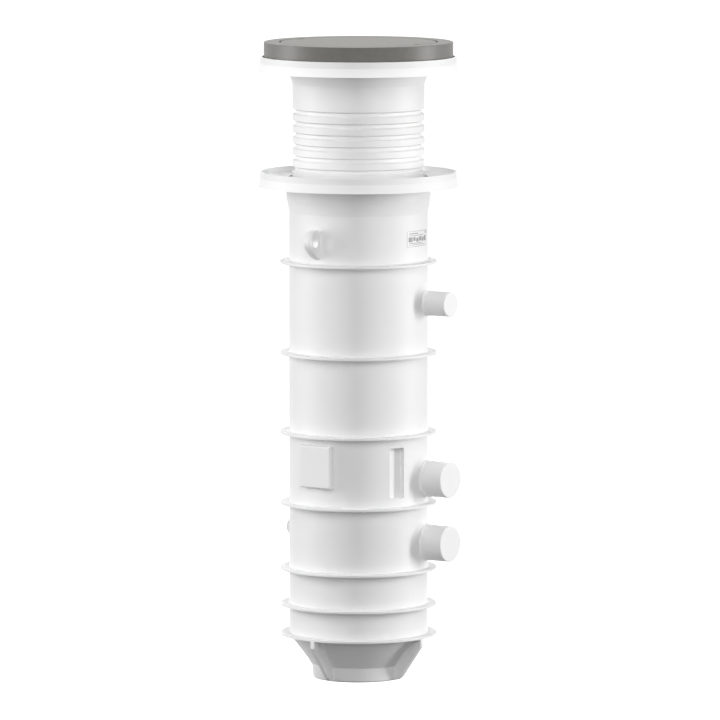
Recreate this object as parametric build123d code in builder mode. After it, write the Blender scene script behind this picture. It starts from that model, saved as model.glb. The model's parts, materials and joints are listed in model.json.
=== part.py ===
from build123d import *
import os
from math import cos, radians, sin

# Slim in-ground pump chamber of moulded polyethylene: a ribbed shaft on a cone sump, a telescopic
# extension with a round cover, and a submersible pump with its discharge pipework inside.
# Units are millimetres. +Z is up, the origin is the centre of the base's underside, and the
# spigots point along +X. The pump's discharge stands on the +Y side.

os.makedirs("parts", exist_ok=True)

# Shaft and sump
wall = 7.0
body_r = 212.0
base_r = 139.0
base_top_r = 143.0
base_h = 43.7
base_edge = 6.0
sump_top = 133.0
shoulder_z = 1432.0
neck_z = 1473.0
neck_flare = 8.0

# Ring ribs, with the height of each from the lowest up
rib_1_z = 137.0
rib_2_z = 228.0
rib_3_z = 339.0
rib_4_z = 540.0
rib_5_z = 757.0
rib_6_z = 1000.0
rib_7_z = 1279.0
rib_depth = 27.0
rib_t = 8.0
rib_root = 3.5
rib_edge = 1.5

# Dish flange, the same on the shaft and on the extension
collar_z = 1508.5
rim_r = 300.0
skirt_flare = 6.5
skirt_h = 26.5
rim_h = 19.0
dish_lift = 3.0
flange_t = 6.0

# Telescopic extension
extension_lift = 350.5
tube_gap = 3.5
tube_length = 459.0
under_cone_out = 20.0
under_cone_h = 60.0
groove_first = 120.4
groove_pitch = 35.0
groove_count = 9
groove_mouth = 17.5
groove_floor = 8.0
groove_depth = 8.5

# Cover, its frame and their seals
frame_gap = 5.5
frame_rise = 45.0
frame_wall = 8.0
frame_land = 47.0
frame_ledge = 21.0
frame_edge = 2.0
frame_webs = 12
gasket_t = 4.0
gasket_lip = 12.0
cover_gap = 4.0
cover_t = 30.0
cover_skin = 10.0
cover_edge = 1.5
cover_ribs = 8
cover_seal_t = 3.0
cover_seal_out = 1.0
cover_seal_in = 2.0
key_slot_l = 36.0
key_slot_w = 9.0

# Lip seal in the neck
seal_sink = 10.0
seal_foot = 12.0
seal_lips = 3
lip_back = 3.5
running_gap = 0.06
neck_gap = 0.3

# Fins under the sump cone
fin_t = 14.0
fin_count = 4
fin_toe_r = 151.0
fin_toe_z = 3.5
fin_heel_r = 165.0
fin_heel_z = 13.0
fin_top_z = 112.0

# Spigots along +X, set off the axis towards +Y: radius and height of each
inlet_r = 55.0
inlet_low_z = 421.5
inlet_high_z = 617.5
outlet_r = 37.5
outlet_z = 1155.5
spigot_y = 83.0
spigot_length = 75.0
spigot_step = 5.0
spigot_shoulder = 1.2
spigot_wall = 4.0
spigot_cap = 6.0
spigot_edge = 3.0
spigot_root = 4.0

# Lifting lugs: two high on the sides and one low at the back
lug_high_z = 1343.0
lug_low_z = 435.0
lug_h = 90.0
lug_reach = 56.5
lug_t = 24.0
lug_flat = 26.0
lug_hole_r = 14.0
lug_hole_out = 25.0
lug_hole_up = 7.0
lug_edge = 3.5

# Raised pad on -Y and recessed pocket between the pad and the spigots
pad_z = 667.0
pad_w = 114.0
pad_h = 129.0
pad_rise = 14.0
pad_edge = 5.0
pocket_angle = -20.4
pocket_z = 647.5
pocket_w = 52.0
pocket_h = 154.0
pocket_depth = 18.0
pocket_corner = 5.0

# Pump
pump_r = 84.0
strainer_h = 55.0
strainer_slots = 20
slot_w = 8.0
slot_h = 34.0
pump_skin = 5.0
volute_h = 52.0
impeller_r = 54.0
impeller_h = 20.0
impeller_vanes = 6
vane_t = 4.0
eye_r = 28.0
shaft_r = 7.0
shaft_seal_r = 15.0
shaft_seal_h = 8.0
motor_r = 69.0
motor_h = 186.0
motor_fins = 12
motor_fin = 4.0
motor_cap_h = 26.0
cap_screw_r = 3.0
cap_screw_head_r = 5.0
cap_screw_head_h = 4.0
cap_screw_l = 16.0
cap_screw_ring = 58.0
handle_r = 7.0
handle_rise = 48.0
handle_half = 40.0
gland_r = 11.0
gland_h = 16.0

# Float arm on the pump's -Y side
float_z = 215.0
float_out = 92.0
float_arm_l = 66.0
float_r = 24.0
float_l = 52.0
float_hang = 50.0
float_pin_r = 4.0
float_boss_r = 10.0
float_boss_w = 12.0
float_ear_t = 5.0

# Discharge pipework
pipe_r = 20.0
pipe_bore = 16.3
riser_out = 54.0
elbow_r = 24.0
elbow_bend = 34.0
port_z = 87.0
elbow_top = 158.0
nut_r = 31.0
nut_h = 30.0
check_r = 36.0
check_h = 84.0
check_wall = 6.0
check_edge = 3.0
seat_h = 16.0
flap_r = 21.0
flap_t = 3.0
flap_hinge = 24.0
flap_pin_r = 2.5
flap_hub_r = 5.0
flap_hub_w = 14.0
ball_z = 1040.0
valve_r = 29.0
valve_h = 74.0
ball_r = 22.0
stem_r = 6.0
stem_l = 44.0
lever_l = 92.0
lever_w = 22.0
lever_t = 5.0
lever_root_r = 15.0
lever_nut_r = 9.0
lever_nut_h = 5.0
outlet_bend = 30.0
outlet_turn_x = 130.0
outlet_end_gap = 14.0
bracket_z = 860.0
bracket_h = 30.0
bracket_band = 5.0
bracket_foot_w = 64.0
bracket_screw_r = 2.5
bracket_screw_head_r = 5.0
bracket_screw_head_h = 3.0
bracket_screw_grip = 5.0
bracket_screw_out = 24.0
seat_gap = 0.3

# Levels worked out from the sizes above
rib_levels = [rib_1_z, rib_2_z, rib_3_z, rib_4_z, rib_5_z, rib_6_z, rib_7_z]
neck_r = body_r + neck_flare
rib_r = body_r + rib_depth
skirt_r = rim_r + skirt_flare
spigot_reach = body_r + spigot_length
break_z = collar_z + skirt_h
floor_z = break_z + dish_lift
extension_z = collar_z + extension_lift
tube_bottom = extension_z - tube_length
extension_break = extension_z + skirt_h
extension_floor = extension_break + dish_lift
extension_rim = extension_break + rim_h
frame_bottom = extension_floor + gasket_t
frame_top = extension_rim + frame_rise
seat_z = frame_top - cover_t - cover_seal_t
inner_r = body_r - wall
tube_r = inner_r - tube_gap
tube_inner = tube_r - wall
under_cone_r = tube_r + under_cone_out
rim_inner = rim_r - flange_t
frame_r = rim_inner - frame_gap
frame_mouth_r = frame_r - frame_land
frame_throat_r = frame_mouth_r - frame_ledge
cover_r = frame_mouth_r - cover_gap
riser_y = pump_r + riser_out


def flange_points(edge_z, break_level):
    """Outline of the dish flange from the underside of its plate round to the dish floor."""
    plate_z = break_level + dish_lift - wall
    top_z = break_level + rim_h
    return [
        (rim_inner, plate_z),
        (skirt_r - flange_t, edge_z),
        (skirt_r, edge_z),
        (rim_r, break_level),
        (rim_r, top_z),
        (rim_inner, top_z),
        (rim_inner, break_level + dish_lift),
    ]


# Lifting lug, drawn against a wall at x = 0, with bevelled rims and a hole for a hook
with BuildPart() as lug:
    with BuildSketch(Plane.XZ):
        with BuildLine():
            Polyline((lug_flat, lug_h / 2), (-wall / 2, lug_h / 2), (-wall / 2, -lug_h / 2), (0, -lug_h / 2))
            Spline(
                (0, -lug_h / 2),
                (lug_reach * 0.66, -lug_h * 0.24),
                (lug_reach, lug_h * 0.06),
                (lug_flat, lug_h / 2),
                tangents=[(1, 0.25), (-1, 0.2)],
            )
        make_face()
    extrude(amount=lug_t / 2, both=True)
    rims = [e for e in lug.faces().filter_by(Axis.Y).edges() if e.center().X > 0.1]
    chamfer(rims, lug_edge)
    with BuildSketch(Plane.XZ):
        with Locations((lug_hole_out, lug_hole_up)):
            Circle(lug_hole_r)
    extrude(amount=lug_t, both=True, mode=Mode.SUBTRACT)

# Raised pad on the wall, with rounded edges
with BuildPart() as pad:
    with BuildSketch(Plane.XZ.offset(body_r + pad_rise)):
        with Locations((0, pad_z)):
            Rectangle(pad_w, pad_h)
    extrude(amount=-(pad_rise + 2 * wall))
    fillet(pad.faces().sort_by(Axis.Y)[0].edges(), pad_edge)

# Chamber shell: shaft, cone sump, neck and collar dish, turned as a plug and hollowed out afterwards
shell_outline = [(0, 0), (base_r, 0), (base_top_r, base_h), (body_r, sump_top), (body_r, shoulder_z)]
shell_outline += [(neck_r, neck_z), (neck_r, floor_z - wall)]
shell_outline += flange_points(collar_z, break_z)
shell_outline += [(0, floor_z)]
cavity_outline = [(0, wall), (base_r - wall, wall), (base_top_r - wall, base_h), (inner_r, sump_top)]
cavity_outline += [(inner_r, shoulder_z), (neck_r - wall, neck_z), (neck_r - wall, floor_z), (0, floor_z)]
spigots = [(inlet_r, inlet_low_z), (inlet_r, inlet_high_z), (outlet_r, outlet_z)]

with BuildPart() as chamber_body:
    with BuildSketch(Plane.XZ) as shell_section:
        with BuildLine():
            Polyline(*shell_outline, close=True)
        make_face()
        foot_corner = shell_section.vertices().group_by(Axis.Y)[0].sort_by(Axis.X)[-1]
        fillet(foot_corner, base_edge)
        with Locations(*[((inner_r + rib_r) / 2, z) for z in rib_levels]):
            Rectangle(rib_r - inner_r, rib_t)
        roots = [v for v in shell_section.vertices() if abs(v.X - body_r) < 0.01]
        roots = [v for v in roots if sump_top + rib_t < v.Y < shoulder_z - 1]
        fillet(roots, rib_root)
        fillet([v for v in shell_section.vertices() if abs(v.X - rib_r) < 0.01], rib_edge)
    revolve(axis=Axis.Z)
    # Closed spigots, each with a shoulder that stops the pipe socket and a small fillet at the root
    for radius, level in spigots:
        with BuildSketch(Plane.YZ):
            with Locations((spigot_y, level)):
                Circle(radius)
        extrude(amount=spigot_reach)
        with BuildSketch(Plane.YZ):
            with Locations((spigot_y, level)):
                Circle(radius + spigot_shoulder)
        extrude(amount=body_r + spigot_step)
    ends = chamber_body.faces().filter_by(Axis.X).group_by(Axis.X)[-1]
    fillet(ends.edges(), spigot_edge)
    roots = chamber_body.edges().filter_by(GeomType.BSPLINE)
    fillet(roots, spigot_root)
    # Four fins that stand the cone on the ground
    with BuildSketch(Plane.XZ):
        with BuildLine():
            Polyline(
                (base_r - wall / 2, fin_toe_z),
                (fin_toe_r, fin_toe_z),
                (fin_heel_r, fin_heel_z),
                (rib_r, fin_top_z),
                (rib_r, rib_1_z),
                (body_r - wall / 2, rib_1_z),
                (body_r - wall / 2, sump_top),
                (base_top_r - wall / 2, base_h),
                close=True,
            )
        make_face()
    fin = extrude(amount=fin_t / 2, both=True, mode=Mode.PRIVATE)
    with PolarLocations(0, fin_count):
        add(fin)
    # Lifting lugs in line with the fins
    for angle, middle in ((-90, lug_high_z), (90, lug_high_z), (180, lug_low_z)):
        foot = (body_r * cos(radians(angle)), body_r * sin(radians(angle)), middle)
        with Locations(Location(foot, (0, 0, angle))):
            add(lug.part)
    add(pad.part)
    # Hollow of the shaft, the bores of the spigots and the hollow behind the pad
    with BuildSketch(Plane.XZ):
        with BuildLine():
            Polyline(*cavity_outline, close=True)
        make_face()
    revolve(axis=Axis.Z, mode=Mode.SUBTRACT)
    for radius, level in spigots:
        with BuildSketch(Plane.YZ.offset(inner_r / 2)):
            with Locations((spigot_y, level)):
                Circle(radius - spigot_wall)
        extrude(amount=spigot_reach - spigot_cap - inner_r / 2, mode=Mode.SUBTRACT)
    with BuildSketch(Plane.XZ.offset(body_r + pad_rise - wall)):
        with Locations((0, pad_z)):
            Rectangle(pad_w - 2 * wall, pad_h - 2 * wall)
    extrude(amount=-2 * wall, mode=Mode.SUBTRACT)
    # Pocket moulded inwards, with the wall carried round it
    heading = Vector(cos(radians(pocket_angle)), sin(radians(pocket_angle)), 0)
    pocket_plane = Plane(
        origin=heading * (body_r - pocket_depth) + Vector(0, 0, pocket_z),
        x_dir=(-heading.Y, heading.X, 0),
        z_dir=heading,
    )
    with BuildSketch(pocket_plane.offset(-wall)):
        RectangleRounded(pocket_w + 2 * wall, pocket_h + 2 * wall, pocket_corner)
    extrude(amount=pocket_depth)
    with BuildSketch(pocket_plane):
        RectangleRounded(pocket_w, pocket_h, pocket_corner)
    extrude(amount=2 * pocket_depth, mode=Mode.SUBTRACT)
    # Blind holes for the screws of the pipe bracket
    with BuildSketch(Plane.XZ.offset(-(inner_r - wall))):
        with Locations((-bracket_screw_out, bracket_z), (bracket_screw_out, bracket_z)):
            Circle(bracket_screw_r)
    extrude(amount=-(wall + bracket_screw_grip), mode=Mode.SUBTRACT)
chamber_body.part.label = "chamber_body"
export_step(chamber_body.part, "parts/chamber_body.step")

# Lip seal: a sleeve with lips that sits in the neck, on its cone
seal_bore = tube_r + running_gap
seal_outer = neck_r - wall - running_gap
seal_top = floor_z - seal_sink
seal_bottom = neck_z - seal_foot
seal_foot_r = seal_outer - seal_foot * neck_flare / (neck_z - shoulder_z)
lip_h = (seal_top - seal_bottom) / (2 * seal_lips)
lip_root = seal_bore + lip_back

with BuildPart() as lip_seal:
    with BuildSketch(Plane.XZ) as seal_section:
        with BuildLine():
            Polyline(
                (lip_root, seal_bottom),
                (seal_foot_r, seal_bottom),
                (seal_outer, neck_z),
                (seal_outer, seal_top),
                (lip_root, seal_top),
                close=True,
            )
        make_face()
        for lip in range(seal_lips):
            foot = seal_bottom + 2 * lip * lip_h
            with BuildLine():
                Polyline(
                    (lip_root, foot),
                    (lip_root, foot + 2 * lip_h * 0.9),
                    (seal_bore, foot + 2 * lip_h * 0.9),
                    (seal_bore, foot + lip_h),
                    close=True,
                )
            make_face()
    revolve(axis=Axis.Z)
lip_seal.part.label = "lip_seal"
export_step(lip_seal.part, "parts/lip_seal.step")

# Extension: grooved tube with the same dish at its top
groove_levels = [extension_z - groove_first - groove_pitch * n for n in range(groove_count)]
side_out = []
side_in = []
for level in reversed(groove_levels):
    shape = [
        (0, level - groove_mouth / 2),
        (-groove_depth, level - groove_floor / 2),
        (-groove_depth, level + groove_floor / 2),
        (0, level + groove_mouth / 2),
    ]
    side_out += [(tube_r + step, z) for step, z in shape]
    side_in += [(tube_inner + step, z) for step, z in shape]
neck_top = extension_floor - wall

extension_outline = [(tube_inner, tube_bottom), (tube_r, tube_bottom)] + side_out
extension_outline += [(tube_r, neck_top - under_cone_h), (under_cone_r, neck_top)]
extension_outline += flange_points(extension_z, extension_break)
extension_outline += [(under_cone_r - wall, extension_floor), (tube_inner, neck_top - under_cone_h)]
extension_outline += side_in[::-1]

with BuildPart() as extension_section:
    with BuildSketch(Plane.XZ):
        with BuildLine():
            Polyline(*extension_outline, close=True)
        make_face()
    revolve(axis=Axis.Z)
extension_section.part.label = "extension_section"
export_step(extension_section.part, "parts/extension_section.step")

# Black rubber gasket in the dish, under the frame and up round its foot
with BuildPart() as frame_gasket:
    with BuildSketch(Plane.XZ):
        with BuildLine():
            Polyline(
                (frame_r - 4 * gasket_lip, extension_floor),
                (rim_inner - seat_gap, extension_floor),
                (rim_inner - seat_gap, frame_bottom + gasket_lip),
                (frame_r + seat_gap, frame_bottom + gasket_lip),
                (frame_r + seat_gap, frame_bottom),
                (frame_r - 4 * gasket_lip, frame_bottom),
                close=True,
            )
        make_face()
    revolve(axis=Axis.Z)
frame_gasket.part.label = "frame_gasket"
export_step(frame_gasket.part, "parts/frame_gasket.step")

# Cover frame: outer skirt, top land, stepped seat and throat, with webs underneath
land_z = frame_top - frame_wall
ledge_z = seat_z - frame_wall

with BuildPart() as cover_frame:
    with BuildSketch(Plane.XZ) as frame_section:
        with BuildLine():
            Polyline(
                (frame_r, frame_bottom),
                (frame_r, frame_top),
                (frame_mouth_r, frame_top),
                (frame_mouth_r, seat_z),
                (frame_throat_r, seat_z),
                (frame_throat_r, frame_bottom),
                (frame_throat_r + frame_wall, frame_bottom),
                (frame_throat_r + frame_wall, ledge_z),
                (frame_mouth_r + frame_wall, ledge_z),
                (frame_mouth_r + frame_wall, land_z),
                (frame_r - frame_wall, land_z),
                (frame_r - frame_wall, frame_bottom),
                close=True,
            )
        make_face()
        outer = [v for v in frame_section.vertices() if v.X > rim_r - 2 * frame_wall]
        fillet([v for v in outer if v.Y > land_z + 1], frame_edge)
    revolve(axis=Axis.Z)
    with BuildSketch(Plane.XZ):
        with BuildLine():
            Polyline(
                (frame_throat_r + frame_wall / 2, frame_bottom),
                (frame_r - frame_wall / 2, frame_bottom),
                (frame_r - frame_wall / 2, land_z + frame_wall / 2),
                (frame_mouth_r + frame_wall / 2, land_z + frame_wall / 2),
                (frame_mouth_r + frame_wall / 2, seat_z),
                (frame_throat_r + frame_wall / 2, ledge_z + frame_wall / 2),
                close=True,
            )
        make_face()
    web = extrude(amount=frame_wall / 4, both=True, mode=Mode.PRIVATE)
    with PolarLocations(0, frame_webs):
        add(web)
cover_frame.part.label = "cover_frame"
export_step(cover_frame.part, "parts/cover_frame.step")

# Flat rubber ring on the seat
with BuildPart() as cover_seal:
    with BuildSketch(Plane.XY.offset(seat_z)):
        Circle(frame_mouth_r - cover_seal_out)
        Circle(frame_throat_r + cover_seal_in, mode=Mode.SUBTRACT)
    extrude(amount=cover_seal_t)
cover_seal.part.label = "cover_seal"
export_step(cover_seal.part, "parts/cover_seal.step")

# Cover plate: flat top, rim and radial ribs underneath, two blind slots for lifting keys
cover_bottom = frame_top - cover_t
hub_r = frame_wall * 3
rib_foot = hub_r / 2

with BuildPart() as cover_plate:
    with BuildSketch(Plane.XY.offset(cover_bottom)):
        Circle(cover_r)
    extrude(amount=cover_t)
    chamfer(cover_plate.faces().sort_by(Axis.Z)[-1].edges(), cover_edge)
    with BuildSketch(Plane.XY.offset(cover_bottom)):
        Circle(frame_throat_r - frame_wall)
        Circle(hub_r, mode=Mode.SUBTRACT)
    extrude(amount=cover_t - cover_skin, mode=Mode.SUBTRACT)
    with BuildSketch(Plane.XY.offset(cover_bottom)):
        with PolarLocations((frame_throat_r + rib_foot) / 2, cover_ribs):
            Rectangle(frame_throat_r - rib_foot, frame_wall)
    extrude(amount=cover_t - cover_skin / 2)
    with BuildSketch(Plane.XY.offset(frame_top)):
        with Locations((frame_throat_r, 0), (-frame_throat_r, 0)):
            SlotOverall(key_slot_l, key_slot_w, rotation=90)
    extrude(amount=-cover_skin, mode=Mode.SUBTRACT)
cover_plate.part.label = "cover_plate"
export_step(cover_plate.part, "parts/cover_plate.step")

# Levels of the pump, which stands on the sump floor
foot_z = wall
volute_z = foot_z + strainer_h
motor_z = volute_z + volute_h
cap_z = motor_z + motor_h
pump_top = cap_z + motor_cap_h

# Intake strainer: slotted cup with an open mouth downwards and a suction eye in its roof
with BuildPart() as intake_strainer:
    with BuildSketch(Plane.XY.offset(foot_z)):
        Circle(pump_r)
    extrude(amount=strainer_h)
    with BuildSketch(Plane.XY.offset(foot_z)):
        Circle(pump_r - pump_skin)
    extrude(amount=strainer_h - pump_skin, mode=Mode.SUBTRACT)
    with BuildSketch(Plane.XY.offset(foot_z)):
        Circle(eye_r + pump_skin)
    extrude(amount=strainer_h, mode=Mode.SUBTRACT)
    with PolarLocations(pump_r, strainer_slots):
        with Locations((0, 0, foot_z + slot_h / 2)):
            Box(4 * pump_skin, slot_w, slot_h, mode=Mode.SUBTRACT)
intake_strainer.part.label = "intake_strainer"
export_step(intake_strainer.part, "parts/intake_strainer.step")

# Volute casing with its suction eye, impeller chamber and discharge port on +Y
chamber_low = volute_z + pump_skin
chamber_high = volute_z + volute_h - 2 * pump_skin

with BuildPart() as volute_disc:
    with BuildSketch(Plane.XY.offset(volute_z)):
        Circle(pump_r - pump_skin)
    extrude(amount=volute_h)
    chamfer(volute_disc.faces().sort_by(Axis.Z)[-1].edges(), pump_skin)

with BuildPart() as volute_casing:
    add(volute_disc.part)
    with Locations(Location((pump_r * 0.14, pump_r * 0.1, 0))):
        add(volute_disc.part)
    with BuildSketch(Plane.XZ.offset(-pump_r / 2)):
        with Locations((0, port_z)):
            Circle(elbow_r)
    extrude(amount=-(pump_r / 2 + pump_skin))
    with BuildSketch(Plane.XY.offset(chamber_low)):
        Circle(impeller_r + 2 * pump_skin)
    extrude(amount=chamber_high - chamber_low, mode=Mode.SUBTRACT)
    with BuildSketch(Plane.XY.offset(volute_z)):
        Circle(eye_r)
    extrude(amount=pump_skin, mode=Mode.SUBTRACT)
    with BuildSketch(Plane.XY.offset(chamber_high)):
        Circle(shaft_seal_r)
    extrude(amount=volute_h, mode=Mode.SUBTRACT)
    with BuildSketch(Plane.XZ.offset(-impeller_r)):
        with Locations((0, port_z)):
            Circle(pipe_bore)
    extrude(amount=-pump_r, mode=Mode.SUBTRACT)
volute_casing.part.label = "volute_casing"
export_step(volute_casing.part, "parts/volute_casing.step")

# Impeller: back plate, hub and swept vanes that face the suction eye
impeller_top = chamber_high - pump_skin
hub_out = shaft_r + pump_skin
vane_line = ThreePointArc(
    (hub_out, 0), (impeller_r * 0.55, impeller_r * 0.2), (impeller_r - vane_t, 0)
)

with BuildPart() as impeller:
    with BuildSketch(Plane.XY.offset(impeller_top - vane_t)):
        Circle(impeller_r)
        Circle(shaft_r, mode=Mode.SUBTRACT)
    extrude(amount=vane_t)
    with BuildSketch(Plane.XY.offset(impeller_top - impeller_h)):
        Circle(hub_out)
        Circle(shaft_r, mode=Mode.SUBTRACT)
    extrude(amount=impeller_h)
    with BuildSketch(Plane.XY.offset(impeller_top - impeller_h)):
        SlotArc(vane_line, vane_t)
    vane = extrude(amount=impeller_h - vane_t / 2, mode=Mode.PRIVATE)
    with PolarLocations(0, impeller_vanes):
        add(vane)
impeller.part.label = "impeller"
export_step(impeller.part, "parts/impeller.step")

# Motor shaft through the impeller into the motor
shaft_depth = motor_h / 3

with BuildPart() as motor_shaft:
    with BuildSketch(Plane.XY.offset(impeller_top - impeller_h - pump_skin)):
        Circle(shaft_r)
    extrude(amount=motor_z + shaft_depth - impeller_top + impeller_h + pump_skin)
    chamfer(motor_shaft.faces().sort_by(Axis.Z)[0].edges(), 1)
motor_shaft.part.label = "motor_shaft"
export_step(motor_shaft.part, "parts/motor_shaft.step")

# Shaft seal seated in the roof of the volute
with BuildPart() as shaft_seal:
    with BuildSketch(Plane.XY.offset(motor_z - shaft_seal_h)):
        Circle(shaft_seal_r - running_gap)
        Circle(shaft_r + running_gap, mode=Mode.SUBTRACT)
    extrude(amount=shaft_seal_h)
shaft_seal.part.label = "shaft_seal"
export_step(shaft_seal.part, "parts/shaft_seal.step")

# Motor housing with cooling fins and a seat for the float bracket
with BuildPart() as motor_housing:
    with BuildSketch(Plane.XY.offset(motor_z)):
        Circle(motor_r)
    extrude(amount=motor_h)
    fin_h = motor_h * 0.6
    with PolarLocations(motor_r, motor_fins, start_angle=180 / motor_fins):
        with Locations((0, 0, motor_z + motor_h / 2)):
            Box(2 * motor_fin, motor_fin, fin_h)
    with BuildSketch(Plane.XY.offset(motor_z)):
        Circle(shaft_r + running_gap)
    extrude(amount=shaft_depth + 1, mode=Mode.SUBTRACT)
    with BuildSketch(Plane.XY.offset(cap_z)):
        with PolarLocations(cap_screw_ring, 4, start_angle=45):
            Circle(cap_screw_r)
    extrude(amount=-cap_screw_l, mode=Mode.SUBTRACT)
motor_housing.part.label = "motor_housing"
export_step(motor_housing.part, "parts/motor_housing.step")

# Motor cap, its screws, the carry handle and the inlet for the cable
cap_land = cap_z + motor_cap_h / 3

with BuildPart() as motor_cap:
    with BuildSketch(Plane.XY.offset(cap_z)):
        Circle(motor_r)
    extrude(amount=motor_cap_h / 3)
    with BuildSketch(Plane.XY.offset(cap_land)):
        Circle(cap_screw_ring - cap_screw_head_r - 2)
    extrude(amount=motor_cap_h * 2 / 3, taper=12)
    with BuildSketch(Plane.XY.offset(cap_z)):
        with PolarLocations(cap_screw_ring, 4, start_angle=45):
            Circle(cap_screw_r)
    extrude(amount=motor_cap_h, mode=Mode.SUBTRACT)
motor_cap.part.label = "motor_cap"
export_step(motor_cap.part, "parts/motor_cap.step")

with BuildPart() as cap_screws:
    with BuildSketch(Plane.XY.offset(cap_land)):
        with PolarLocations(cap_screw_ring, 4, start_angle=45):
            Circle(cap_screw_head_r)
    extrude(amount=cap_screw_head_h)
    with BuildSketch(Plane.XY.offset(cap_land)):
        with PolarLocations(cap_screw_ring, 4, start_angle=45):
            Circle(cap_screw_r - running_gap)
    extrude(amount=-(cap_screw_l - 1))
cap_screws.part.label = "cap_screws"
export_step(cap_screws.part, "parts/cap_screws.step")

with BuildPart() as carry_handle:
    with BuildLine() as handle_line:
        FilletPolyline(
            (-handle_half, 0, pump_top),
            (-handle_half, 0, pump_top + handle_rise),
            (handle_half, 0, pump_top + handle_rise),
            (handle_half, 0, pump_top),
            radius=2.5 * handle_r,
        )
    with BuildSketch(Plane.XY.offset(pump_top)):
        with Locations((-handle_half, 0)):
            Circle(handle_r)
    sweep(path=handle_line.wires()[0])
carry_handle.part.label = "carry_handle"
export_step(carry_handle.part, "parts/carry_handle.step")

with BuildPart() as cable_gland:
    with BuildSketch(Plane.XY.offset(pump_top)):
        with Locations((0, -handle_half / 2)):
            RegularPolygon(gland_r, 6)
    extrude(amount=gland_h / 2)
    with BuildSketch(Plane.XY.offset(pump_top + gland_h / 2)):
        with Locations((0, -handle_half / 2)):
            Circle(gland_r * 0.75)
    extrude(amount=gland_h / 2)
    with BuildSketch(Plane.XY.offset(pump_top + gland_h)):
        with Locations((0, -handle_half / 2)):
            Circle(gland_r * 0.35)
    extrude(amount=-gland_h * 0.8, mode=Mode.SUBTRACT)
cable_gland.part.label = "cable_gland"
export_step(cable_gland.part, "parts/cable_gland.step")

# Float bracket on the motor's -Y side: foot, two ears and a stop under the arm
ear_gap = float_boss_w + 2 * neck_gap
bracket_w = ear_gap + 2 * float_ear_t
float_y = -float_out

with BuildPart() as float_bracket:
    with BuildSketch(Plane.XY.offset(float_z - 2 * float_boss_r)):
        with Locations((0, -motor_r)):
            Rectangle(bracket_w, 2 * float_ear_t)
        Circle(motor_r, mode=Mode.SUBTRACT)
    extrude(amount=4 * float_boss_r)
    for side in (-1, 1):
        with BuildSketch(Plane.YZ.offset(side * (ear_gap / 2 + float_ear_t / 2))):
            with Locations((float_y, float_z)):
                Circle(float_boss_r)
            with Locations(((float_y - motor_r) / 2, float_z)):
                Rectangle(float_out - motor_r, 2 * float_boss_r)
        extrude(amount=float_ear_t / 2, both=True)
    with BuildSketch(Plane.XY.offset(float_z - 2 * float_boss_r)):
        Circle(motor_r)
    extrude(amount=4 * float_boss_r, mode=Mode.SUBTRACT)
    with BuildSketch(Plane.YZ):
        with Locations((float_y, float_z)):
            Circle(float_pin_r)
    extrude(amount=bracket_w, both=True, mode=Mode.SUBTRACT)
float_bracket.part.label = "float_bracket"
export_step(float_bracket.part, "parts/float_bracket.step")

with BuildPart() as float_pin:
    with BuildSketch(Plane.YZ.offset(-bracket_w / 2)):
        with Locations((float_y, float_z)):
            Circle(float_pin_r)
    extrude(amount=bracket_w)
    with BuildSketch(Plane.YZ.offset(bracket_w / 2)):
        with Locations((float_y, float_z)):
            Circle(float_pin_r * 1.7)
    extrude(amount=float_pin_r / 2)
float_pin.part.label = "float_pin"
export_step(float_pin.part, "parts/float_pin.step")

# Float arm: boss on the pin, arm and hollow-looking float, hanging at its lower stop
droop = radians(float_hang)
arm_plane = Plane(
    origin=(0, float_y, float_z),
    x_dir=(0, -cos(droop), -sin(droop)),
    z_dir=(1, 0, 0),
)

with BuildPart() as float_arm:
    with BuildSketch(arm_plane):
        Circle(float_boss_r)
        with Locations((float_arm_l / 2, 0)):
            Rectangle(float_arm_l, float_boss_r)
    extrude(amount=float_boss_w / 2, both=True)
    with BuildSketch(arm_plane):
        Circle(float_pin_r + running_gap)
    extrude(amount=float_boss_w, both=True, mode=Mode.SUBTRACT)
    with BuildSketch(arm_plane):
        with Locations((float_arm_l, 0)):
            Circle(float_r)
    extrude(amount=float_l / 2, both=True)
    rims = float_arm.faces().filter_by(Axis.X).sort_by(Axis.X)
    ends = [rim.edges().sort_by(Edge.length)[-1] for rim in (rims[0], rims[-1])]
    fillet(ends, float_r / 3)
float_arm.part.label = "float_arm"
export_step(float_arm.part, "parts/float_arm.step")

# Discharge elbow from the volute's port, up to the union
elbow_foot = pump_r + pump_skin

with BuildPart() as discharge_elbow:
    with BuildLine() as elbow_line:
        FilletPolyline(
            (0, elbow_foot, port_z),
            (0, riser_y, port_z),
            (0, riser_y, elbow_top),
            radius=elbow_bend,
        )
    with BuildSketch(Plane.XZ.offset(-elbow_foot)):
        with Locations((0, port_z)):
            Circle(pipe_r)
            Circle(pipe_bore, mode=Mode.SUBTRACT)
    sweep(path=elbow_line.wires()[0])
    with BuildSketch(Plane.XZ.offset(-elbow_foot)):
        with Locations((0, port_z)):
            Circle(elbow_r)
            Circle(pipe_bore, mode=Mode.SUBTRACT)
    extrude(amount=-pump_skin)
discharge_elbow.part.label = "discharge_elbow"
export_step(discharge_elbow.part, "parts/discharge_elbow.step")

# Union nut between the elbow and the check valve
nut_z = elbow_top - nut_h / 2
check_z = nut_z + nut_h
riser_axis = Plane(origin=(0, riser_y, 0), z_dir=(0, 0, 1))

with BuildPart() as union_nut:
    with BuildSketch(riser_axis.offset(nut_z)):
        RegularPolygon(nut_r, 8)
        Circle(pipe_r, mode=Mode.SUBTRACT)
    extrude(amount=nut_h)
    chamfer(union_nut.faces().filter_by(Axis.Z).edges().filter_by(GeomType.LINE), 1.5)
union_nut.part.label = "union_nut"
export_step(union_nut.part, "parts/union_nut.step")

# Swing check valve: body with a seat, the flap and its pin
check_top = check_z + check_h
seat_top = check_z + seat_h
flap_y = riser_y - flap_hinge
flap_z = seat_top + flap_hub_r + neck_gap

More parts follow.
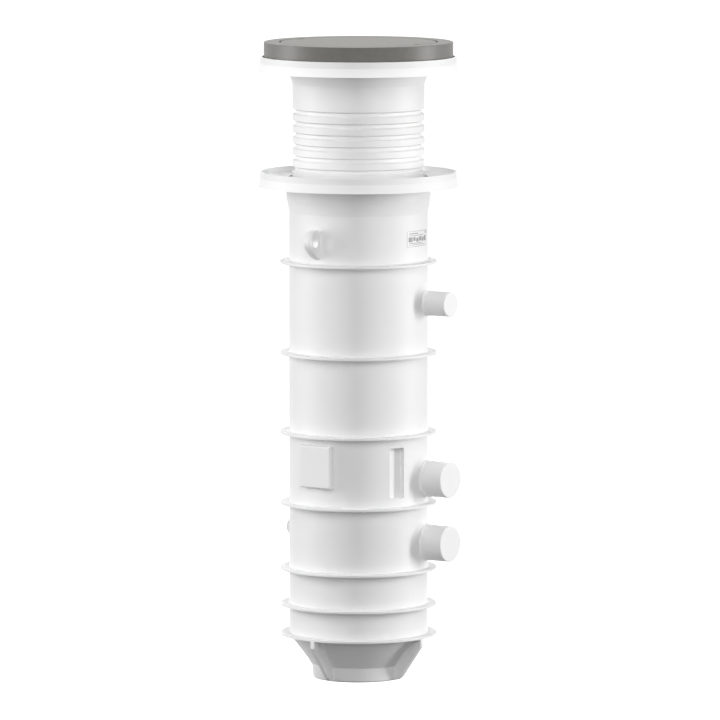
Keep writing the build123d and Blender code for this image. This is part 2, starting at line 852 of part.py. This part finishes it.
with BuildPart() as check_valve_body:
    with BuildSketch(riser_axis.offset(check_z)):
        Circle(check_r)
    extrude(amount=check_h)
    chamfer(check_valve_body.edges().filter_by(GeomType.CIRCLE), check_edge)
    with BuildSketch(riser_axis.offset(seat_top)):
        Circle(check_r - check_wall)
    extrude(amount=check_h - 2 * seat_h, mode=Mode.SUBTRACT)
    with BuildSketch(riser_axis.offset(check_z)):
        Circle(pipe_bore)
    extrude(amount=check_h, mode=Mode.SUBTRACT)
    with BuildSketch(riser_axis.offset(check_top)):
        Circle(pipe_r)
    extrude(amount=-seat_h / 2, mode=Mode.SUBTRACT)
    with BuildSketch(Plane.YZ.offset(-check_r)):
        with Locations((flap_y, flap_z)):
            Circle(flap_pin_r)
    extrude(amount=2 * check_r, mode=Mode.SUBTRACT)
check_valve_body.part.label = "check_valve_body"
export_step(check_valve_body.part, "parts/check_valve_body.step")

pin_half = (check_r**2 - flap_hinge**2) ** 0.5 + 1

with BuildPart() as flap_pin:
    with BuildSketch(Plane.YZ):
        with Locations((flap_y, flap_z)):
            Circle(flap_pin_r)
    extrude(amount=pin_half, both=True)
flap_pin.part.label = "flap_pin"
export_step(flap_pin.part, "parts/flap_pin.step")

with BuildPart() as check_flap:
    with BuildSketch(riser_axis.offset(seat_top + neck_gap)):
        Circle(flap_r)
        with Locations((0, -flap_hinge / 2)):
            Rectangle(flap_hub_w, flap_hinge)
    extrude(amount=flap_t)
    with BuildSketch(Plane.YZ):
        with Locations((flap_y, flap_z)):
            Circle(flap_hub_r)
    extrude(amount=flap_hub_w / 2, both=True)
    with BuildSketch(Plane.YZ):
        with Locations((flap_y, flap_z)):
            Circle(flap_pin_r + running_gap)
    extrude(amount=flap_hub_w, both=True, mode=Mode.SUBTRACT)
check_flap.part.label = "check_flap"
export_step(check_flap.part, "parts/check_flap.step")

# Riser pipe from the check valve up to the shut-off valve
valve_low = ball_z - valve_h / 2
valve_high = ball_z + valve_h / 2

with BuildPart() as riser_pipe:
    with BuildSketch(riser_axis.offset(check_top - seat_h / 2)):
        Circle(pipe_r)
        Circle(pipe_bore, mode=Mode.SUBTRACT)
    extrude(amount=valve_low + seat_h - check_top + seat_h / 2)
riser_pipe.part.label = "riser_pipe"
export_step(riser_pipe.part, "parts/riser_pipe.step")

# Shut-off valve: body, ball with its stem towards the shaft's middle, lever and nut
stem_end = riser_y - stem_l

with BuildPart() as valve_body:
    with BuildSketch(riser_axis.offset(valve_low)):
        Circle(valve_r)
    extrude(amount=valve_h)
    chamfer(valve_body.edges().filter_by(GeomType.CIRCLE), 2)
    with BuildSketch(Plane.XZ.offset(-(riser_y - valve_r / 2))):
        with Locations((0, ball_z)):
            Circle(stem_r + check_wall)
    extrude(amount=valve_r / 2 + check_wall / 2)
    with BuildSketch(Plane.XZ.offset(-riser_y)):
        with Locations((0, ball_z)):
            Circle(stem_r + running_gap)
    extrude(amount=valve_r + check_wall, mode=Mode.SUBTRACT)
    with Locations((0, riser_y, ball_z)):
        Sphere(ball_r + running_gap, mode=Mode.SUBTRACT)
    for level, way in ((valve_low, 1), (valve_high, -1)):
        with BuildSketch(riser_axis.offset(level)):
            Circle(pipe_r)
        extrude(amount=way * seat_h, mode=Mode.SUBTRACT)
    with BuildSketch(riser_axis.offset(valve_low)):
        Circle(pipe_bore)
    extrude(amount=valve_h, mode=Mode.SUBTRACT)
valve_body.part.label = "valve_body"
export_step(valve_body.part, "parts/valve_body.step")

with BuildPart() as valve_ball:
    with Locations((0, riser_y, ball_z)):
        Sphere(ball_r)
    with BuildSketch(Plane.XZ.offset(-riser_y)):
        with Locations((0, ball_z)):
            Circle(stem_r)
    extrude(amount=stem_l)
    with BuildSketch(riser_axis.offset(ball_z - ball_r)):
        Circle(pipe_bore)
    extrude(amount=2 * ball_r, mode=Mode.SUBTRACT)
valve_ball.part.label = "valve_ball"
export_step(valve_ball.part, "parts/valve_ball.step")

lever_y = stem_end + lever_nut_h + lever_t

with BuildPart() as valve_lever:
    with BuildSketch(Plane.XZ.offset(-lever_y)):
        with Locations((0, ball_z)):
            Circle(lever_root_r)
        with Locations((0, ball_z + lever_l / 2)):
            SlotOverall(lever_l, lever_w, rotation=90)
        with Locations((0, ball_z)):
            Circle(stem_r, mode=Mode.SUBTRACT)
    extrude(amount=lever_t)
valve_lever.part.label = "valve_lever"
export_step(valve_lever.part, "parts/valve_lever.step")

with BuildPart() as lever_nut:
    with BuildSketch(Plane.XZ.offset(-(stem_end + lever_nut_h))):
        with Locations((0, ball_z)):
            RegularPolygon(lever_nut_r, 6)
            Circle(stem_r, mode=Mode.SUBTRACT)
    extrude(amount=lever_nut_h)
lever_nut.part.label = "lever_nut"
export_step(lever_nut.part, "parts/lever_nut.step")

# Outlet pipe from the valve into the outlet spigot
outlet_end = spigot_reach - spigot_cap - outlet_end_gap

with BuildPart() as outlet_pipe:
    with BuildLine() as outlet_line:
        FilletPolyline(
            (0, riser_y, valve_high - seat_h),
            (0, riser_y, outlet_z),
            (outlet_turn_x, spigot_y, outlet_z),
            (outlet_end, spigot_y, outlet_z),
            radius=outlet_bend,
        )
    with BuildSketch(riser_axis.offset(valve_high - seat_h)):
        Circle(pipe_r)
        Circle(pipe_bore, mode=Mode.SUBTRACT)
    sweep(path=outlet_line.wires()[0])
outlet_pipe.part.label = "outlet_pipe"
export_step(outlet_pipe.part, "parts/outlet_pipe.step")

# Bracket that holds the riser off the shaft's wall, and its two screws
bracket_low = bracket_z - bracket_h / 2

with BuildPart() as pipe_bracket:
    with BuildSketch(riser_axis.offset(bracket_low)):
        Circle(pipe_r + bracket_band)
    extrude(amount=bracket_h)
    with BuildSketch(Plane.XY.offset(bracket_low)):
        with Locations((0, (riser_y + inner_r) / 2)):
            Rectangle(2 * bracket_band, inner_r - riser_y)
    extrude(amount=bracket_h)
    with BuildSketch(Plane.XY.offset(bracket_low)):
        with Locations((0, inner_r)):
            Rectangle(bracket_foot_w, 4 * bracket_band)
    extrude(amount=bracket_h)
    with BuildSketch(Plane.XY.offset(bracket_low)):
        Circle(body_r + bracket_foot_w)
        Circle(inner_r, mode=Mode.SUBTRACT)
    extrude(amount=bracket_h, mode=Mode.SUBTRACT)
    with BuildSketch(riser_axis.offset(bracket_low)):
        Circle(pipe_r)
    extrude(amount=bracket_h, mode=Mode.SUBTRACT)
    with BuildSketch(Plane.XZ.offset(-riser_y)):
        with Locations((-bracket_screw_out, bracket_z), (bracket_screw_out, bracket_z)):
            Circle(bracket_screw_r)
    extrude(amount=-body_r, mode=Mode.SUBTRACT)
pipe_bracket.part.label = "pipe_bracket"
export_step(pipe_bracket.part, "parts/pipe_bracket.step")

bracket_front = inner_r - 2 * bracket_band

with BuildPart() as bracket_screws:
    with BuildSketch(Plane.XZ.offset(-bracket_front)):
        with Locations((-bracket_screw_out, bracket_z), (bracket_screw_out, bracket_z)):
            Circle(bracket_screw_head_r)
    extrude(amount=bracket_screw_head_h)
    with BuildSketch(Plane.XZ.offset(-bracket_front)):
        with Locations((-bracket_screw_out, bracket_z), (bracket_screw_out, bracket_z)):
            Circle(bracket_screw_r)
    extrude(amount=-(2 * bracket_band + bracket_screw_grip - 1))
bracket_screws.part.label = "bracket_screws"
export_step(bracket_screws.part, "parts/bracket_screws.step")
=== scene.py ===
import json
import math

import bmesh
import bpy
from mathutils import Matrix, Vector


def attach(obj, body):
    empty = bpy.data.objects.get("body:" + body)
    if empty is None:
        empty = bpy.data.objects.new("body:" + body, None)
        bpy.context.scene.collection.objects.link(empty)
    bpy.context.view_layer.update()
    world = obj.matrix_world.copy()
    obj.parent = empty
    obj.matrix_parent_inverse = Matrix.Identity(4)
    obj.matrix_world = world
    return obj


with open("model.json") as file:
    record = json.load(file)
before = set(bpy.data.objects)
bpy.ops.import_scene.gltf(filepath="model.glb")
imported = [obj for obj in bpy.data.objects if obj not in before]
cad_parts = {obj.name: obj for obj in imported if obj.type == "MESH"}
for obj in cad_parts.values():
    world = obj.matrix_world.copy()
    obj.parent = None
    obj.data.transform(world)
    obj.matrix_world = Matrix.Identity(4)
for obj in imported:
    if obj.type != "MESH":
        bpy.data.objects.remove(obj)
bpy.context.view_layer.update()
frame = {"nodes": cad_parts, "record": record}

# Camera: a long lens far in front of the chamber, looking slightly down
view_angle = math.radians(-54.0)
camera_distance = 23.56
camera_height = 3.4176
aim_height = 0.9756
aim_right = 0.0046
lens_mm = 387.6
sensor_mm = 36.0
view_reach = 500.0

# Lamps: angles in degrees right of the camera, the rest in metres and watts
lamp_distance = 5.0
lamp_aim = 1.0
strip = dict(width=0.5, mirrored=True)
box = dict(height=3.2, width=1.8, tall=4.0)
lamps = [
    dict(strip, name="right_strip", angle=89.0, height=1.2, tall=2.4, watts=136.0),
    dict(strip, name="left_strip", angle=-91.0, height=1.9, tall=3.8, watts=160.0),
    dict(box, name="key_box", angle=6.0, watts=135.0),
    dict(box, name="back_box", angle=180.0, watts=110.0),
    dict(name="top_box", angle=0.0, height=6.0, width=1.6, tall=1.6, watts=185.0, distance=0.1),
]

# World and floor
world_level = 0.32
floor_side = 300.0
floor_level = -0.0004
floor_paper = 0.8
floor_glow = 0.95
floor_dull = 0.12

# Finishes: spread is how far the mottle strays from the colour, and bump is how strong the grain is
mottle_detail = 3.0
mottle_stops = (0.3, 0.7)
grain_detail = 4.0
grain_depth = 0.0004
finishes = {
    "shell_plastic": dict(colour=(0.86, 0.86, 0.86), roughness=0.55, spread=0.008, bump=0.05),
    "cover_plastic": dict(
        colour=(0.126, 0.122, 0.112), roughness=0.46, spread=0.05, bump=0.25, mottle=60.0, grain=900.0,
    ),
    "seal_rubber": dict(colour=(0.03, 0.03, 0.031), roughness=0.6, spread=0.15, bump=0.2),
    "pale_rubber": dict(colour=(0.42, 0.42, 0.42), roughness=0.6, spread=0.06, bump=0.15),
    "pump_plastic": dict(colour=(0.06, 0.068, 0.075), roughness=0.45, spread=0.1, bump=0.15),
    "pipe_plastic": dict(colour=(0.045, 0.045, 0.05), roughness=0.38, spread=0.1, bump=0.08),
    "float_plastic": dict(colour=(0.80, 0.28, 0.04), roughness=0.35, spread=0.04, bump=0.05),
    "lever_paint": dict(colour=(0.50, 0.04, 0.03), roughness=0.35, spread=0.05, bump=0.08),
    "motor_steel": dict(colour=(0.60, 0.60, 0.61), roughness=0.32, spread=0.04, bump=0.1, metal=1.0),
    "screw_steel": dict(colour=(0.66, 0.66, 0.67), roughness=0.28, spread=0.04, bump=0.05, metal=1.0),
    "valve_brass": dict(colour=(0.70, 0.53, 0.24), roughness=0.3, spread=0.05, bump=0.1, metal=1.0),
    "label_film": dict(colour=(0.80, 0.80, 0.80), roughness=0.4, spread=0.02, bump=0.03),
    "label_ink": dict(colour=(0.30, 0.30, 0.30), roughness=0.5, spread=0.1, bump=0.03),
}

# The seal in the collar is paler than the other seals
own_finish = {"lip_seal": "pale_rubber"}

# Label place on the neck
shaft_radius = 0.212
label_angle = math.radians(5.7)
label_z = 1.358
label_width = 0.118
label_height = 0.050
label_steps = 12
film_thickness = 0.0004
ink_thickness = film_thickness / 2

# Areas of the label: left and right as shares of its half width, foot and head as shares of its height
whole_label = (-1.0, 1.0, 0.0, 1.0)
border_bars = [
    (-0.97, 0.97, 0.955, 0.975),
    (-0.97, 0.97, 0.025, 0.045),
    (-0.97, -0.955, 0.045, 0.955),
    (0.955, 0.97, 0.045, 0.955),
]
row_bars = [
    (-0.86, -0.10, 0.80, 0.86),
    (0.74, 0.88, 0.78, 0.90),
    (-0.86, 0.50, 0.69, 0.73),
    (-0.88, -0.58, 0.32, 0.62),
    (-0.52, -0.32, 0.38, 0.62),
    (-0.26, -0.04, 0.32, 0.56),
    (0.02, 0.28, 0.36, 0.62),
    (0.34, 0.54, 0.32, 0.58),
    (0.60, 0.86, 0.32, 0.64),
    (-0.86, 0.30, 0.22, 0.26),
    (-0.86, 0.64, 0.13, 0.16),
]


def facing(angle):
    """Unit vector that points away from the axis at an angle right of the camera."""
    turned = view_angle + math.radians(angle)
    return Vector((math.cos(turned), math.sin(turned), 0.0))


def raised(height):
    """Point on the axis at a height."""
    return Vector((0.0, 0.0, height))


def place_at(thing, place, target):
    """Links a lamp or the camera to the scene, puts it at a place and turns it to the target."""
    bpy.context.scene.collection.objects.link(thing)
    thing.location = place
    thing.rotation_euler = (target - place).to_track_quat("-Z", "Y").to_euler()


def make_camera():
    """Camera at the photograph's angle."""
    data = bpy.data.cameras.new("camera")
    data.lens = lens_mm
    data.sensor_width = sensor_mm
    data.clip_end = view_reach
    camera = bpy.data.objects.new("camera", data)
    aside = facing(90.0) * aim_right
    place = facing(0.0) * camera_distance + raised(camera_height) + aside
    place_at(camera, place, raised(aim_height) + aside)
    bpy.context.scene.camera = camera


def make_lamp(name, angle, height, width, tall, watts, distance=lamp_distance, mirrored=False):
    """Soft box that faces the shaft. Only a mirrored one shows as a highlight."""
    data = bpy.data.lights.new(name, "AREA")
    data.shape = "RECTANGLE"
    data.size = width
    data.size_y = tall
    data.energy = watts
    lamp = bpy.data.objects.new(name, data)
    lamp.visible_glossy = mirrored
    place_at(lamp, facing(angle) * distance + raised(height), raised(lamp_aim))


def add_node(tree, kind, **values):
    """Shader node of a kind, with values for its inputs."""
    node = tree.nodes.new(f"ShaderNode{kind}")
    for name, value in values.items():
        node.inputs[name].default_value = value
    return node


def grey(level):
    """Opaque colour of one grey level."""
    return (level, level, level, 1.0)


def seen_directly(tree):
    """Socket that is 1 for camera, glossy and transmission rays."""
    path = add_node(tree, "LightPath")
    seen = path.outputs["Is Camera Ray"]
    for ray in ("Is Glossy Ray", "Is Transmission Ray"):
        either = add_node(tree, "Math")
        either.operation = "MAXIMUM"
        tree.links.new(seen, either.inputs[0])
        tree.links.new(path.outputs[ray], either.inputs[1])
        seen = either.outputs[0]
    return seen


def split_by_ray(tree, lit, shown, output):
    """Uses one shader for the light on the object and another for what is seen directly."""
    mix = add_node(tree, "MixShader")
    tree.links.new(seen_directly(tree), mix.inputs["Fac"])
    tree.links.new(lit.outputs[0], mix.inputs[1])
    tree.links.new(shown.outputs[0], mix.inputs[2])
    tree.links.new(mix.outputs[0], add_node(tree, output).inputs["Surface"])


def make_world():
    """Even studio light, white where it is seen directly."""
    world = bpy.data.worlds.new("studio")
    bpy.context.scene.world = world
    world.use_nodes = True
    tree = world.node_tree
    tree.nodes.clear()
    light = add_node(tree, "Background", Color=grey(1.0), Strength=world_level)
    backdrop = add_node(tree, "Background", Color=grey(1.0))
    split_by_ray(tree, light, backdrop, "OutputWorld")


def make_floor():
    """Pale floor that keeps the object's shadow and reads as white round it."""
    bpy.ops.mesh.primitive_plane_add(size=floor_side, location=raised(floor_level))
    floor = bpy.context.object
    floor.name = "floor"
    material = bpy.data.materials.new("floor_paper")
    material.use_nodes = True
    tree = material.node_tree
    tree.nodes.clear()
    dull = add_node(tree, "BsdfDiffuse", Color=grey(floor_dull))
    paper = add_node(tree, "BsdfDiffuse", Color=grey(floor_paper))
    glow = add_node(tree, "Emission", Strength=floor_glow)
    pale = add_node(tree, "AddShader")
    tree.links.new(paper.outputs[0], pale.inputs[0])
    tree.links.new(glow.outputs[0], pale.inputs[1])
    split_by_ray(tree, dull, pale, "OutputMaterial")
    floor.data.materials.append(material)


def add_noise(tree, coords, scale, detail):
    """Noise over the object's own coordinates."""
    noise = add_node(tree, "TexNoise", Scale=scale, Detail=detail)
    tree.links.new(coords, noise.inputs["Vector"])
    return noise.outputs["Fac"]


def moulded(name, colour, roughness, spread, bump, mottle=9.0, grain=700.0, metal=0.0):
    """Material with a gentle mottle of its colour and a fine surface grain, each at its own noise scale."""
    material = bpy.data.materials.new(name)
    material.use_nodes = True
    tree = material.node_tree
    shader = tree.nodes["Principled BSDF"]
    shader.inputs["Roughness"].default_value = roughness
    shader.inputs["Metallic"].default_value = metal
    coords = add_node(tree, "TexCoord").outputs["Object"]
    tint = add_node(tree, "ValToRGB")
    for stop, place, share in zip(tint.color_ramp.elements, mottle_stops, (1 - spread, 1 + spread)):
        stop.position = place
        stop.color = (*(c * share for c in colour), 1.0)
    tree.links.new(add_noise(tree, coords, mottle, mottle_detail), tint.inputs["Fac"])
    tree.links.new(tint.outputs["Color"], shader.inputs["Base Color"])
    relief = add_node(tree, "Bump", Strength=bump, Distance=grain_depth)
    tree.links.new(add_noise(tree, coords, grain, grain_detail), relief.inputs["Height"])
    tree.links.new(relief.outputs["Normal"], shader.inputs["Normal"])
    return material


def dress(materials):
    """Gives each node its own finish, or else the finish of its slot in the record."""
    slot_of = {row["node"]: row["material_slot"] for row in frame["record"]["subparts"]}
    for name, thing in frame["nodes"].items():
        material = materials[own_finish.get(name, slot_of[name])]
        if not thing.material_slots:
            thing.data.materials.append(material)
        for slot in thing.material_slots:
            slot.material = material


def round_axis(turn, out, level):
    """Point at an angle round the axis, a distance from it and a height."""
    return (out * math.cos(turn), out * math.sin(turn), level)


def label_patch(name, area, radius, thickness, material):
    """Thin closed film that follows the shaft over an area of the label."""
    left, right, foot, head = area
    start = left * label_width / 2
    finish = right * label_width / 2
    low = label_z - label_height / 2
    bottom = low + foot * label_height
    top = low + head * label_height
    corners = [(radius, bottom), (radius + thickness, bottom), (radius + thickness, top), (radius, top)]
    build = bmesh.new()
    rims = []
    for step in range(label_steps + 1):
        turn = label_angle + (start + (finish - start) * step / label_steps) / shaft_radius
        rims.append([build.verts.new(round_axis(turn, out, level)) for out, level in corners])
    for rim, after in zip(rims, rims[1:]):
        for side, corner in enumerate(rim):
            beside = (side + 1) % len(rim)
            build.faces.new((corner, rim[beside], after[beside], after[side]))
    build.faces.new(rims[0])
    build.faces.new(reversed(rims[-1]))
    bmesh.ops.recalc_face_normals(build, faces=build.faces)
    mesh = bpy.data.meshes.new(name)
    build.to_mesh(mesh)
    build.free()
    mesh.materials.append(material)
    patch = bpy.data.objects.new(name, mesh)
    bpy.context.scene.collection.objects.link(patch)
    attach(patch, "chamber")


def make_label(materials):
    """Plain film with bars of grey in place of the printed label."""
    label_patch("label_film", whole_label, shaft_radius, film_thickness, materials["label_film"])
    ink_radius = shaft_radius + film_thickness
    for number, bar in enumerate(border_bars + row_bars):
        label_patch(f"label_bar_{number}", bar, ink_radius, ink_thickness, materials["label_ink"])


bpy.context.scene.view_settings.view_transform = "Standard"
make_camera()
make_world()
make_floor()
for values in lamps:
    make_lamp(**values)
materials = {name: moulded(name, **values) for name, values in finishes.items()}
dress(materials)
make_label(materials)
